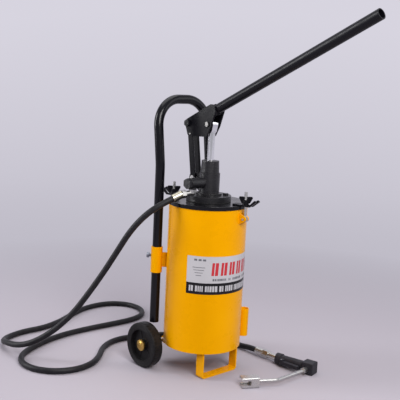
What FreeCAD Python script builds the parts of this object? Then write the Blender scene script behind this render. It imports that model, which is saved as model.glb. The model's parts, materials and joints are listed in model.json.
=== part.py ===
import FreeCAD, Part
import math
import os

# Hand-lever bucket pump on two wheels, with its hose, gun and nozzle laid on the floor.
# Millimetres, +Z up, the lever to -Y. The pieces are drawn about the drum's axis and saved in
# the part's frame, whose origin is the centre of the foot strap's underside.

# Drum and foot
drum_r = 103.5
drum_wall = 1.5
drum_base_z = 70.8
drum_height = 381.0
bottom_thick = 2.0
gasket_thick = 3.0
lid_thick = 3.2
# the lid's top, which every height above it follows
head_z = drum_base_z + drum_height + gasket_thick + lid_thick
bead_height = 5.0
bead_reach = 0.5
bead_round = 0.2
foot_axis_gap = 63.0
foot_span = 126.0
foot_width = 25.0
foot_thick = 5.0
foot_corner_r = 9.0
label_low = 160.2
label_height = 99.0
label_half_angle = 70.0
label_thick = 0.4

# Wheels and axle
axle_y = 90.0
axle_r = 6.0
wheel_r = 60.6
wheel_width = 30.0
wheel_gauge = 2 * drum_r + 43.0
tyre_depth = 15.0
tyre_round = 5.0
tread_grooves = 36
tread_groove_depth = 1.5
tread_groove_width = 2.2
tread_centre_rib = 8.0
hub_r = 17.0
hub_recess = 8.0
disc_thick = 9.0
rim_thick = 4.0
wheel_ribs = 5
rib_width = 12.0
rib_thick = 4.0
rib_root = 1.0
cap_r = 15.0
cap_length = 8.0
cap_nose = 3.0
cap_taper = 2.0
end_play = 0.3
washer_thick = 2.0
washer_r = 12.0
running_gap = 0.08
bracket_plate = 3.0
bracket_ear = 5.0
bracket_half_width = 58.0
bracket_front_y = 42.0

# Trolley handle
handle_x = drum_r - 15.5
handle_y = drum_r - 5.5
handle_tube_r = 12.5
handle_wall = 2.0
handle_bend_r = 73.0
handle_bottom_z = 116.0
handle_top_z = head_z + 258.0
handle_tilt = 7.2
handle_tilt_z = head_z + 87.0
handle_tilt_r = 150.0
sleeve_low = 255.0
sleeve_length = 70.0
sleeve_wall = 2.8
sleeve_clearance = 0.3
sleeve_bracket_thick = 6.0
sleeve_bracket_height = 40.0
set_screw_r = 4.0
set_screw_head_af = 14.0
set_screw_head = 6.0
set_screw_stand = 5.0
set_screw_rise = 10.0
set_screw_gap = 0.2

# Nozzle holder
holder_r = 13.0
holder_wall = 2.0
holder_low = 84.0
holder_length = 76.0
holder_angle = 62.0

# Lid and clamps
gasket_width = 5.0
lid_skirt_wall = 1.2
lid_skirt_depth = 6.5
lid_gap = 0.2
lid_round = 0.96
barrel_hole_gap = 0.5
clamp_turn = 12.0
clamp_bolt_r = drum_r + 11.5
ear_thick = 4.0
ear_width = 22.0
ear_inner_r = drum_r - 21.5
ear_flat = 16.0
ear_ramp = 15.0
swing_bolt_r = 4.0
slot_clearance = 0.6
wing_height = 21.0
wing_body_r = 8.5
wing_span = 35.0
wing_thick = 5.6
wing_corner_r = 3.0
wing_foot = 7.0
wing_foot_reach = 12.0
wing_notch_r = 14.0
wing_notch_depth = 1.6
nut_body_share = 0.6
nut_top_share = 0.8
wing_turn = -56.0
bolt_end = 12.0
pivot_drop = 37.0
pivot_pin_r = 3.0
pivot_eye_r = 7.5
pivot_eye_thick = 8.0
shank_bite = 2.0
lug_ear_thick = 4.0
lug_gap = 0.5
lug_pin_head_r = 4.5
lug_pin_head = 2.5
lug_pin_tail = 3.0
lug_half_height = 11.0
lug_corner_r = 3.0

# Pump head
head_gasket_thick = 1.5
flange_r = 59.0
flange_thick = 14.5
flange_step = 5.0
flange_step_reach = 7.0
column_r = 27.0
column_top = head_z + 74.0
head_bolt_r = 4.0
head_bolt_circle = 44.0
head_bolt_count = 4
head_bolt_af = 13.0
head_bolt_head = 5.5
head_bolt_nut = 6.5
head_bolt_end = 8.0
head_bolt_gap = 0.3
gland_r = 24.5
gland_top_r = 23.0
gland_top = head_z + 106.0
gland_spigot = 16.0
packing_height = 16.0
packing_bore = 17.0
spigot_gap = 0.02
rod_r = 9.0
rod_gap = 0.06
barrel_r = 22.5
barrel_wall = 2.5
barrel_seat = 12.0
barrel_low = 96.0
valve_body_r = 26.0
valve_body_height = 22.0
valve_overlap = 12.0
valve_port_r = 6.0
valve_seat_depth = 2.5
ball_r = 8.0
ball_gap = 0.3
strainer_r = 24.0
strainer_wall = 1.5
strainer_height = 10.0
strainer_slots = 12
strainer_slot = 4.0
strainer_hoop = 3.0
piston_height = 22.0
piston_gap = 0.06
piston_drop = 470.0
piston_ports = 4
piston_port_r = 3.0
piston_land = 1.0
port_inset = 5.5
cup_lows = (4.0, 13.0)
cup_height = 5.0
cup_thick = 2.4

# Delivery arm
arm_z = head_z + 49.0
arm_r = 14.0
arm_end = 70.0
arm_bore_r = 8.0
arm_seat = 34.0
arm_seat_r = 4.5
arm_port_start = 15.0
check_ball_r = 6.5
spring_coils = 5
spring_wire_r = 0.7
spring_r = 6.4
plug_af = 24.0
plug_head = 10.0
plug_thread = 5.0
outlet_x = 58.0
elbow_drop = 24.0
outlet_boss_r = 10.0
outlet_boss = 2.0
elbow_ball_r = 8.0
elbow_stem_r = 7.0
elbow_bore_r = 3.0
elbow_stem_end = 2.0
elbow_hex = 7.0
elbow_nut_af = 19.0
elbow_nut = 11.0
ferrule_r = 10.5
ferrule_length = 26.0

# Lever and links, in the plane of the drum's axis: how far forward of it, and how high
rod_pin = (0.0, head_z + 200.0)
link_top = (-75.0, head_z + 198.0)
link_foot = (-53.0, head_z + 54.0)
link_thick = 4.0
link_centre_x = 10.0
link_end_r = 9.0
link_pin_r = 5.0
pin_gap = 0.06
cheek_thick = 4.5
cheek_gap = 0.9
cheek_rear_r = 12.0
cheek_low_r = 9.0
cheek_low_rear = (-68.0, head_z + 173.0)
cheek_low_front = (-9.0, head_z + 176.0)
cheek_rod_r = 13.0
rod_eye_r = 12.5
spacer_gap = 0.4
spacer_wall = 4.0
lug_half_gap = 0.5
lug_slot_side = 5.6
lug_slot_rise = 1.9
lug_edge = 6.0
lug_round = 4.0
pin_head_r = 6.5
pin_head = 3.5
pin_end = 4.0
bolt_end_out = 8.0
foot_pin_head_r = 7.0
foot_pin_head = 3.0
head_pin_gap = 0.02
bolt_head_af = 17.0
bolt_head_high = 6.5
lever_angle = 25.6
lever_root = (28.9, head_z + 245.8)
lever_tube_r = 12.7
lever_wall = 2.6
lever_length = 512.0
lever_insert = 60.0
socket_r = lever_tube_r + 2.3
socket_back = 72.0
socket_front = -14.0
web_inset = 1.0
cheek_high = -20.0

# Hose, gun and nozzle, laid on the floor
hose_r = 8.0
bend_share = 0.45
floor_gap = 0.3
swivel_r = 8.5
swivel_af = 19.0
gun_r = 13.0
gun_start = (184.0, -115.0)
gun_end = (208.0, -230.0)
gun_butt_r = 15.5
gun_butt_length = 16.0
gun_block_length = 34.0
gun_block_width = 33.0
gun_block_round = 3.0
swivel_nut_share = 0.4
trigger_thick = 9.0
trigger_depth = 10.0
trigger_length = 62.0
trigger_pivot_along = 24.0
trigger_pivot_out = 19.0
trigger_pin_r = 2.0
trigger_boss_r = 5.0
trigger_angle = 7.0
trigger_ear = 3.0
trigger_ear_foot = 8.0
trigger_ear_foot_r = 3.0
trigger_side_gap = 0.4
pipe_r = 4.75
pipe_bend_r = 22.0
pipe_nut_af = 15.0
pipe_nut = 13.0
coupler_length = 46.0
coupler_width = 27.0
coupler_mouth_r = 9.0
coupler_mouth = 28.0
coupler_round = 3.0
coupler_slot = 24.0
coupler_slot_width = 12.0
pipe_bend = (74.0, -216.0)
pipe_end = (27.0, -190.0)

# The hose's route from the delivery ferrule to the gun's ferrule
hose_low = hose_r + floor_gap
gun_z = gun_block_width / 2 + floor_gap
# the hanging run was laid out for this lid height and drum radius, and follows both
laid_head_z = 458.0
laid_drum_r = 103.5
hang = head_z / laid_head_z
spread = drum_r - laid_drum_r
hose_route = [
    (-110 - spread, 17, 468 * hang), (-142 - spread, 29, 452 * hang),
    (-171 - spread, 52, 424 * hang), (-190 - spread, 86, 379 * hang),
    (-202 - spread, 122, 320 * hang), (-220 - spread, 156, 257 * hang), (-246, 183, 199 * hang),
    (-270, 208, 149 * hang), (-297, 236, 106 * hang), (-326, 266, 72 * hang),
    (-352, 300, 47), (-370, 343, 33), (-373, 392, 28), (-356, 441, 15), (-316, 478, hose_low),
    (-262, 491, hose_low), (-200, 487, hose_low), (-132, 506, hose_low), (-62, 545, hose_low),
    (2, 577, hose_low), (66, 590, hose_low), (122, 575, hose_low), (160, 532, hose_low),
    (165, 474, hose_low), (136, 424, hose_low), (84, 400, hose_low), (14, 399, hose_low),
    (-66, 404, hose_low), (-140, 405, hose_low), (-205, 398, hose_low), (-275, 377, hose_low),
    (-352, 338, hose_low), (-388, 286, hose_low), (-388, 226, hose_low), (-353, 176, hose_low),
    (-297, 154, hose_low), (-238, 165, hose_low), (-190, 203, hose_low), (-146, 251, hose_low),
    (-86, 280, hose_low), (-18, 272, hose_low), (54, 240, hose_low), (120, 197, hose_low),
    (168, 146, hose_low), (187, 82, hose_low), (184, 26, 10), (182, -10, gun_z),
    (183, -39, gun_z),
]

Vector = FreeCAD.Vector
up = Vector(0, 0, 1)
across = Vector(1, 0, 0)
drum_top = drum_base_z + drum_height
lid_low = drum_top + gasket_thick
lid_top = head_z
lid_outer_r = drum_r + bead_reach + lid_gap + lid_skirt_wall
flange_low = lid_top + head_gasket_thick
flange_top = flange_low + flange_thick
ear_top = lid_top + ear_thick
pivot_z = ear_top - pivot_drop
label_base_z = drum_base_z + label_low
pipe_z = coupler_width / 2 + floor_gap
cheek_inner = link_centre_x + link_thick / 2 + cheek_gap
cheek_outer = cheek_inner + cheek_thick


def cylinder(start, end, radius):
    axis = end - start
    return Part.makeCylinder(radius, axis.Length, start, axis)


def tube(start, end, outer_r, inner_r):
    axis = end - start
    bore_start = start - axis * 0.02
    bore_end = end + axis * 0.02
    return cylinder(start, end, outer_r).cut(cylinder(bore_start, bore_end, inner_r))


def ring(low, high, outer_r, inner_r):
    return tube(Vector(0, 0, low), Vector(0, 0, high), outer_r, inner_r)


def hex_bar(start, end, across_flats):
    """A hexagonal bar between two points."""
    axis = end - start
    corner_r = across_flats / math.sqrt(3)
    corners = [Vector(corner_r * math.cos(math.radians(60 * i)),
                      corner_r * math.sin(math.radians(60 * i)), 0) for i in range(7)]
    bar = Part.Face(Part.makePolygon(corners)).extrude(Vector(0, 0, axis.Length))
    bar.Placement = FreeCAD.Placement(start, FreeCAD.Rotation(up, axis))
    return bar


def block(low, high):
    size = high - low
    return Part.makeBox(size.x, size.y, size.z, low)


def belt(circles):
    """A flat face wrapped round circles (u, v, radius), listed anticlockwise."""
    spans = []
    for i, (u, v, radius) in enumerate(circles):
        next_u, next_v, next_radius = circles[(i + 1) % len(circles)]
        heading = math.atan2(next_v - v, next_u - u)
        lean = math.asin((radius - next_radius) / math.hypot(next_u - u, next_v - v))
        spans.append(heading - math.pi / 2 + lean)
    edges = []
    for i, (u, v, radius) in enumerate(circles):
        arrive = spans[i - 1]
        sweep = (spans[i] - arrive) % (2 * math.pi)
        points = [Vector(u + radius * math.cos(arrive + sweep * share),
                         v + radius * math.sin(arrive + sweep * share), 0)
                  for share in (0, 0.5, 1)]
        edges.append(Part.Arc(*points).toShape())
        next_u, next_v, next_radius = circles[(i + 1) % len(circles)]
        landing = Vector(next_u + next_radius * math.cos(spans[i]),
                         next_v + next_radius * math.sin(spans[i]), 0)
        edges.append(Part.LineSegment(points[2], landing).toShape())
    return Part.Face(Part.Wire(edges))


def side_plate(circles, centre_x, thick):
    """A plate in the lever's plane, wrapped round circles (forward, high, radius)."""
    plate = belt(circles).extrude(Vector(0, 0, thick))
    to_side = FreeCAD.Matrix(0, 0, 1, centre_x - thick / 2, -1, 0, 0, 0, 0, 1, 0, 0)
    return plate.transformGeometry(to_side)


def side_point(place, x=0.0):
    """The point that lies forward and high of the drum's axis, at a distance to the side."""
    return Vector(x, -place[0], place[1])


def side_pin(place, half_length, radius):
    return cylinder(side_point(place, -half_length), side_point(place, half_length), radius)


def stood(shape, place, sideways, outward):
    """The shape carried to its place, its X turned sideways and its Z outward."""
    copy = shape.copy()
    turn = FreeCAD.Rotation(sideways, outward.cross(sideways), outward, "XZY")
    copy.Placement = FreeCAD.Placement(place, turn)
    return copy


def turned(shape, angle):
    """A turned copy about the drum's axis, anticlockwise from above."""
    copy = shape.copy()
    copy.rotate(Vector(0, 0, 0), up, angle)
    return copy


def mirrored(shape):
    return shape.mirror(Vector(0, 0, 0), across)


def clamp_pair(shape):
    """A piece of the front clamp, and the same piece of the rear one."""
    return [turned(shape, clamp_turn), turned(shape, clamp_turn + 180)]


def save(name, shapes):
    solids = []
    for shape in shapes:
        solids.extend(shape.Solids)
    moved = Part.makeCompound(solids)
    moved.translate(Vector(0, foot_axis_gap, 0))
    if not moved.isValid():
        raise RuntimeError("the shape is not valid: " + name)
    moved.exportStep("parts/" + name + ".step")
    print(name, len(solids), round(moved.Volume / 1000.0, 2), "cm3")


def make_drum():
    save("drum_shell", [ring(drum_base_z, drum_top, drum_r, drum_r - drum_wall)])
    bottom = cylinder(Vector(0, 0, drum_base_z), Vector(0, 0, drum_base_z + bottom_thick),
                      drum_r - drum_wall)
    save("drum_bottom", [bottom])
    bead = ring(drum_top - bead_height, drum_top, drum_r + bead_reach, drum_r)
    save("drum_rim", [bead.makeFillet(bead_round, [bead.Edges[0]])])
    band = ring(label_base_z, label_base_z + label_height, drum_r + label_thick, drum_r)
    reach = 2 * drum_r
    half = math.radians(label_half_angle)
    corner = Vector(reach * math.sin(half), -reach * math.cos(half), 0)
    wedge = Part.Face(Part.makePolygon([Vector(0, 0, 0), Vector(-corner.x, corner.y, 0),
                                        Vector(-corner.x, -reach, 0), Vector(corner.x, -reach, 0),
                                        corner, Vector(0, 0, 0)]))
    wedge.translate(Vector(0, 0, label_base_z - 1))
    save("label", [band.common(wedge.extrude(Vector(0, 0, label_height + 2)))])


def make_foot():
    front = -foot_axis_gap - foot_width / 2
    rear = front + foot_width
    half = foot_span / 2
    outer = block(Vector(-half, front, 0), Vector(half, rear, drum_base_z))
    outer = outer.makeFillet(foot_corner_r, lower_edges(outer, half, 0))
    inner = block(Vector(-half + foot_thick, front - 1, foot_thick),
                  Vector(half - foot_thick, rear + 1, drum_base_z + 1))
    inner = inner.makeFillet(foot_corner_r - foot_thick,
                             lower_edges(inner, half - foot_thick, foot_thick))
    save("foot_strap", [outer.cut(inner)])


def lower_edges(shape, half, height):
    """The two edges along Y at a box's lower corners."""
    found = []
    for edge in shape.Edges:
        centre = edge.CenterOfMass
        if abs(abs(centre.x) - half) < 0.01 and abs(centre.z - height) < 0.01:
            found.append(edge)
    return found


def make_axle():
    z = wheel_r
    plate = block(Vector(-bracket_half_width, bracket_front_y, drum_base_z - bracket_plate),
                  Vector(bracket_half_width, math.sqrt(drum_r ** 2 - bracket_half_width ** 2),
                         drum_base_z))
    ear_r = drum_base_z - z
    ear_face = belt([(bracket_front_y + ear_r, z, ear_r), (axle_y, z, ear_r)])
    ear = ear_face.extrude(Vector(0, 0, bracket_ear))
    stand = FreeCAD.Matrix(0, 0, 1, 0, 1, 0, 0, 0, 0, 1, 0, 0)
    ear = ear.transformGeometry(stand)
    ear.translate(Vector(bracket_half_width - bracket_ear, 0, 0))
    bracket = plate.fuse([ear, mirrored(ear)]).removeSplitter()
    cap_start = wheel_gauge / 2 + wheel_width / 2 - hub_recess + end_play + washer_thick
    half_axle = cap_start + cap_length - cap_nose
    hole = cylinder(Vector(-half_axle, axle_y, z), Vector(half_axle, axle_y, z), axle_r)
    save("axle_bracket", [bracket.cut(hole)])
    save("axle", [hole])
    washers = []
    caps = []
    for side in (-1, 1):
        for face in (-1, 1):
            near = wheel_gauge / 2 + face * (wheel_width / 2 - hub_recess + end_play)
            far = near + face * washer_thick
            washers.append(tube(Vector(side * near, axle_y, z), Vector(side * far, axle_y, z),
                                washer_r, axle_r + running_gap))
        step = cap_start + cap_length - cap_nose
        cap = cylinder(Vector(side * cap_start, axle_y, z), Vector(side * step, axle_y, z), cap_r)
        nose = Part.makeCone(cap_r - cap_taper, axle_r, cap_nose, Vector(side * step, axle_y, z),
                             Vector(side, 0, 0))
        caps.append(cap.fuse(nose).cut(hole))
    save("axle_washers", washers)
    save("hub_caps", caps)
    for name, side in (("left", -1), ("right", 1)):
        make_wheel(name, Vector(side * wheel_gauge / 2, axle_y, z))


def make_wheel(name, centre):
    half = across * (wheel_width / 2)
    rim_r = wheel_r - tyre_depth
    tyre = tube(centre - half, centre + half, wheel_r, rim_r)
    shoulders = [edge for edge in tyre.Edges if abs(edge.Length - 2 * math.pi * wheel_r) < 1]
    tyre = tyre.makeFillet(tyre_round, shoulders)
    grooves = []
    for i in range(tread_grooves):
        angle = 2 * math.pi * i / tread_grooves
        spoke = Vector(0, math.cos(angle), math.sin(angle))
        for side in (-1, 1):
            groove = Part.makeBox(wheel_width, tread_groove_width, 2 * tread_groove_depth,
                                  Vector(tread_centre_rib / 2, -tread_groove_width / 2, 0))
            base = centre + spoke * (wheel_r - tread_groove_depth)
            grooves.append(stood(groove, base, across * side, spoke))
    save("tyre_" + name, [tyre.cut(Part.makeCompound(grooves))])
    half_hub = across * (wheel_width / 2 - hub_recess)
    barrel = tube(centre - half_hub, centre + half_hub, hub_r, axle_r + running_gap)
    half_disc = across * (disc_thick / 2)
    disc = tube(centre - half_disc, centre + half_disc, rim_r, hub_r - rib_root)
    flange = tube(centre - half, centre + half, rim_r, rim_r - rim_thick)
    ribs = []
    for i in range(wheel_ribs):
        angle = 2 * math.pi * i / wheel_ribs
        spoke = Vector(0, math.cos(angle), math.sin(angle))
        rib = Part.makeBox(rib_width, rib_thick, rim_r - hub_r,
                           Vector(-rib_width / 2, -rib_thick / 2, 0))
        ribs.append(stood(rib, centre + spoke * (hub_r - rib_root), across, spoke))
    save("wheel_" + name, [barrel.fuse([disc, flange] + ribs).removeSplitter()])


def make_handle():
    lean = math.radians(handle_tilt)
    tilted_top = handle_tilt_z + (handle_top_z - handle_tilt_z) / math.cos(lean)
    corner = tilted_top - handle_bend_r
    setback = handle_tilt_r * math.tan(lean / 2)
    diagonal = handle_bend_r * math.sqrt(0.5)
    sides = []
    for side in (-1, 1):
        centre = Vector(side * (handle_x - handle_bend_r), handle_y, corner)
        knee = Vector(side * handle_x, handle_y, handle_tilt_z)
        sag = handle_tilt_r / math.cos(lean / 2) - handle_tilt_r
        sides.append([Vector(side * handle_x, handle_y, handle_bottom_z), knee - up * setback,
                      knee + Vector(0, math.cos(lean / 2), -math.sin(lean / 2)) * sag,
                      tilted(knee + up * setback),
                      tilted(Vector(side * handle_x, handle_y, corner)),
                      tilted(centre + Vector(side * diagonal, 0, diagonal)),
                      tilted(centre + up * handle_bend_r)])
    left, right = sides
    path = Part.Wire([
        Part.LineSegment(left[0], left[1]).toShape(), Part.Arc(left[1], left[2], left[3]).toShape(),
        Part.LineSegment(left[3], left[4]).toShape(), Part.Arc(left[4], left[5], left[6]).toShape(),
        Part.LineSegment(left[6], right[6]).toShape(), Part.Arc(right[6], right[5], right[4]).toShape(),
        Part.LineSegment(right[4], right[3]).toShape(), Part.Arc(right[3], right[2], right[1]).toShape(),
        Part.LineSegment(right[1], right[0]).toShape()])
    start = Vector(-handle_x, handle_y, handle_bottom_z)
    outer = pipe_along(path, start, up, handle_tube_r)
    inner = pipe_along(path, start, up, handle_tube_r - handle_wall)
    save("trolley_handle", [outer.cut(inner)])
    inner_r = handle_tube_r + sleeve_clearance
    outer_r = inner_r + sleeve_wall
    sleeves = []
    brackets = []
    screws = []
    middle = sleeve_low + sleeve_length / 2
    bore = Vector(handle_x, handle_y, 0)
    out = Vector(bore).normalize()
    sleeve = tube(bore + up * sleeve_low, bore + up * (sleeve_low + sleeve_length), outer_r, inner_r)
    screw_axis = Vector(handle_x, handle_y, middle + set_screw_rise)
    shank_start = screw_axis + out * (inner_r + set_screw_gap)
    head_start = screw_axis + out * (outer_r + set_screw_stand)
    head_end = head_start + out * set_screw_head
    shank = cylinder(shank_start, head_start, set_screw_r)
    screw = shank.fuse(hex_bar(head_start, head_end, set_screw_head_af))
    sleeve = sleeve.cut(cylinder(screw_axis, head_start, set_screw_r))
    reach = bore.Length
    web = block(Vector(-sleeve_bracket_thick / 2, drum_r - 5, middle - sleeve_bracket_height / 2),
                Vector(sleeve_bracket_thick / 2, reach, middle + sleeve_bracket_height / 2))
    web.rotate(Vector(0, 0, 0), up, -math.degrees(math.atan2(handle_x, handle_y)))
    web = web.cut(cylinder(Vector(0, 0, 0), Vector(0, 0, drum_top), drum_r))
    web = web.cut(cylinder(bore, bore + up * drum_top, outer_r))
    for pieces, piece in ((sleeves, sleeve), (brackets, web), (screws, screw)):
        pieces.extend([piece, mirrored(piece)])
    save("handle_sleeves", sleeves)
    save("sleeve_brackets", brackets)
    save("sleeve_screws", screws)


def tilted(point):
    """A point of the handle's hoop, turned back about the line where the legs bend."""
    lean = math.radians(handle_tilt)
    rise = point.z - handle_tilt_z
    return Vector(point.x, handle_y + rise * math.sin(lean), handle_tilt_z + rise * math.cos(lean))


def pipe_along(path, start, direction, radius):
    section = Part.Wire([Part.Circle(start, direction, radius).toShape()])
    return path.makePipeShell([section], True, False)


def make_holder():
    angle = math.radians(holder_angle)
    reach = drum_r + holder_r
    foot = Vector(reach * math.sin(angle), -reach * math.cos(angle), holder_low)
    top = foot + up * holder_length
    save("nozzle_holder", [tube(foot, top, holder_r, holder_r - holder_wall)])


def make_lid():
    seal = ring(drum_top, lid_low, drum_r + bead_reach, drum_r - gasket_width)
    save("lid_gasket", [seal])
    plate = ring(lid_low, lid_top, lid_outer_r, barrel_r + barrel_hole_gap)
    skirt = ring(lid_low - lid_skirt_depth, lid_top, lid_outer_r,
                 lid_outer_r - lid_skirt_wall)
    lid = plate.fuse(skirt).removeSplitter()
    rim = [edge for edge in lid.Edges
           if abs(edge.Length - 2 * math.pi * lid_outer_r) < 1 and edge.CenterOfMass.z > lid_low]
    lid = lid.makeFillet(lid_round, rim)
    save("lid", [lid.cut(Part.makeCompound(head_bolt_holes(lid_low - 1, lid_top + 1)))])
    half = ear_width / 2
    bend = clamp_bolt_r + ear_flat
    end = bend + ear_ramp
    # the ear runs flat under the nut, then slopes up at 45 degrees
    slope = ear_thick * math.sqrt(2)
    outline = [(ear_inner_r, lid_top), (bend + slope - ear_thick, lid_top),
               (end + slope, ear_top + ear_ramp - ear_thick), (end, ear_top + ear_ramp),
               (bend, ear_top), (ear_inner_r, ear_top)]
    corners = [Vector(-half, -far, high) for far, high in outline]
    strap = Part.Face(Part.makePolygon(corners + corners[:1])).extrude(across * ear_width)
    slot_r = swing_bolt_r + slot_clearance
    mouth = block(Vector(-slot_r, -end - 2 * ear_thick, lid_top - 1),
                  Vector(slot_r, -clamp_bolt_r, ear_top + ear_ramp + 1))
    seat = cylinder(Vector(0, -clamp_bolt_r, lid_top - 1), Vector(0, -clamp_bolt_r, ear_top + 1),
                    slot_r)
    ear = strap.cut(mouth).cut(seat).removeSplitter()
    save("lid_ears", clamp_pair(ear))


def head_bolt_holes(low, high):
    holes = []
    for place in head_bolt_places():
        holes.append(cylinder(place + up * low, place + up * high, head_bolt_r + head_bolt_gap))
    return holes


def head_bolt_places():
    places = []
    for i in range(head_bolt_count):
        angle = math.radians(45 + 360 * i / head_bolt_count)
        places.append(Vector(head_bolt_circle * math.cos(angle), head_bolt_circle * math.sin(angle), 0))
    return places


def make_clamps():
    pin = Vector(0, -clamp_bolt_r, pivot_z)
    inner = pivot_eye_thick / 2 + lug_gap
    lug_plate = side_plate([(clamp_bolt_r, pivot_z, pivot_eye_r),
                            (drum_r, pivot_z + lug_half_height, lug_corner_r),
                            (drum_r, pivot_z - lug_half_height, lug_corner_r)],
                           inner + lug_ear_thick / 2, lug_ear_thick)
    drum = cylinder(Vector(0, 0, drum_base_z), Vector(0, 0, drum_top), drum_r)
    hole = cylinder(pin - across * 30, pin + across * 30, pivot_pin_r)
    lug_plate = lug_plate.cut(drum).cut(hole)
    save("clamp_lugs", clamp_pair(lug_plate) + clamp_pair(mirrored(lug_plate)))
    outer = inner + lug_ear_thick
    lug_pin = cylinder(pin - across * (outer + lug_pin_tail), pin + across * outer, pivot_pin_r)
    head = cylinder(pin + across * outer, pin + across * (outer + lug_pin_head), lug_pin_head_r)
    save("lug_pins", clamp_pair(lug_pin.fuse(head)))
    half = pivot_eye_thick / 2
    eye = tube(pin - across * half, pin + across * half, pivot_eye_r, pivot_pin_r + pin_gap)
    top = ear_top + wing_height + bolt_end
    shank = cylinder(pin + up * (pivot_pin_r + shank_bite), pin + up * (top - pivot_z), swing_bolt_r)
    bolt = eye.fuse(shank.cut(cylinder(pin - across * half, pin + across * half, pivot_pin_r + 1)))
    save("swing_bolts", clamp_pair(bolt))
    base = Vector(0, -clamp_bolt_r, ear_top)
    body = Part.makeCone(wing_body_r, wing_body_r * nut_top_share, wing_height * nut_body_share, base, up)
    bore = cylinder(base - up, base + up * (wing_height + 1), swing_bolt_r + running_gap)
    tip = wing_span / 2 - wing_corner_r
    wing_face = belt([(-tip, wing_height - wing_corner_r, wing_corner_r),
                      (-wing_foot_reach + wing_corner_r, wing_foot, wing_corner_r),
                      (wing_foot_reach - wing_corner_r, wing_foot, wing_corner_r),
                      (tip, wing_height - wing_corner_r, wing_corner_r)])
    wings = wing_face.extrude(Vector(0, 0, wing_thick))
    wings = wings.transformGeometry(FreeCAD.Matrix(1, 0, 0, 0, 0, 0, -1, wing_thick / 2, 0, 1, 0, 0))
    notch_z = wing_height - wing_notch_depth + wing_notch_r
    wings = wings.cut(cylinder(Vector(0, -wing_thick, notch_z), Vector(0, wing_thick, notch_z),
                               wing_notch_r))
    wings.rotate(Vector(0, 0, 0), up, wing_turn)
    wings.translate(base)
    nut = body.fuse(wings).cut(bore)
    front, rear = clamp_pair(nut)
    save("wing_nut_front", [front])
    save("wing_nut_rear", [rear])


def make_head():
    seal = ring(lid_top, flange_low, flange_r, barrel_r + barrel_hole_gap)
    save("head_gasket", [seal.cut(Part.makeCompound(head_bolt_holes(lid_top - 1, flange_low + 1)))])
    flange = cylinder(Vector(0, 0, flange_low), Vector(0, 0, flange_top), flange_r)
    step = cylinder(Vector(0, 0, flange_top), Vector(0, 0, flange_top + flange_step),
                    column_r + flange_step_reach)
    column = cylinder(Vector(0, 0, flange_low), Vector(0, 0, column_top), column_r)
    arm = cylinder(Vector(0, 0, arm_z), Vector(-arm_end, 0, arm_z), arm_r)
    boss = cylinder(Vector(-outlet_x, 0, arm_z),
                    Vector(-outlet_x, 0, arm_z - arm_r - outlet_boss), outlet_boss_r)
    head = flange.fuse([step, column, link_lug(), arm, boss]).removeSplitter()
    packing_low = column_top - gland_spigot - packing_height
    cuts = [
        cylinder(Vector(0, 0, packing_low), Vector(0, 0, column_top + 1), packing_bore),
        cylinder(Vector(0, 0, flange_low - 1), Vector(0, 0, packing_low + 1), barrel_r - barrel_wall),
        cylinder(Vector(0, 0, flange_low - 1), Vector(0, 0, flange_low + barrel_seat), barrel_r),
        cylinder(Vector(-arm_port_start, 0, arm_z), Vector(-arm_seat - 1, 0, arm_z), arm_seat_r),
        cylinder(Vector(-arm_seat, 0, arm_z), Vector(-arm_end - 1, 0, arm_z), arm_bore_r),
        cylinder(Vector(-outlet_x, 0, arm_z), Vector(-outlet_x, 0, arm_z - arm_r - 3), elbow_stem_r),
    ] + head_bolt_holes(flange_low - 1, flange_top + 1)
    save("pump_head", [cut_each(head, cuts)])
    spigot = cylinder(Vector(0, 0, column_top - gland_spigot), Vector(0, 0, column_top),
                      packing_bore - spigot_gap)
    nut = Part.makeCone(gland_r, gland_top_r, gland_top - column_top, Vector(0, 0, column_top), up)
    bore = cylinder(Vector(0, 0, column_top - 30), Vector(0, 0, gland_top + 1), rod_r + rod_gap)
    save("gland_nut", [nut.fuse(spigot).cut(bore)])
    save("gland_packing", [ring(packing_low, column_top - gland_spigot, packing_bore, rod_r + rod_gap)])
    bolts = []
    for place in head_bolt_places():
        shank = cylinder(place + up * (lid_low - head_bolt_end), place + up * flange_top, head_bolt_r)
        bolts.append(shank.fuse(hex_bar(place + up * flange_top, place + up * (flange_top + head_bolt_head),
                                        head_bolt_af)))
        nut_low = place + up * (lid_low - head_bolt_nut)
        bolts.append(hex_bar(nut_low, place + up * lid_low, head_bolt_af).cut(
            cylinder(nut_low - up, nut_low + up * head_bolt_end, head_bolt_r)))
    save("head_bolts", bolts)


def cut_each(shape, tools):
    for tool in tools:
        shape = shape.cut(tool)
    return shape


def link_lug():
    """The rear lug, whose slot lets the link's lower pin float."""
    half = link_centre_x - link_thick / 2 - lug_half_gap
    end_r = link_pin_r + lug_slot_rise + lug_edge
    forward, high = link_foot
    lug = side_plate([(forward - lug_slot_side, high, end_r), (-column_r + lug_round,
                                                               flange_top + lug_round, lug_round),
                      (0, flange_top + lug_round, lug_round),
                      (0, high + end_r - lug_round, lug_round)], 0, 2 * half)
    slot_r = link_pin_r + lug_slot_rise
    slot = side_plate([(forward - lug_slot_side, high, slot_r), (forward + lug_slot_side, high, slot_r)],
                      0, 2 * half + 2)
    return lug.cut(slot)


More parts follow.
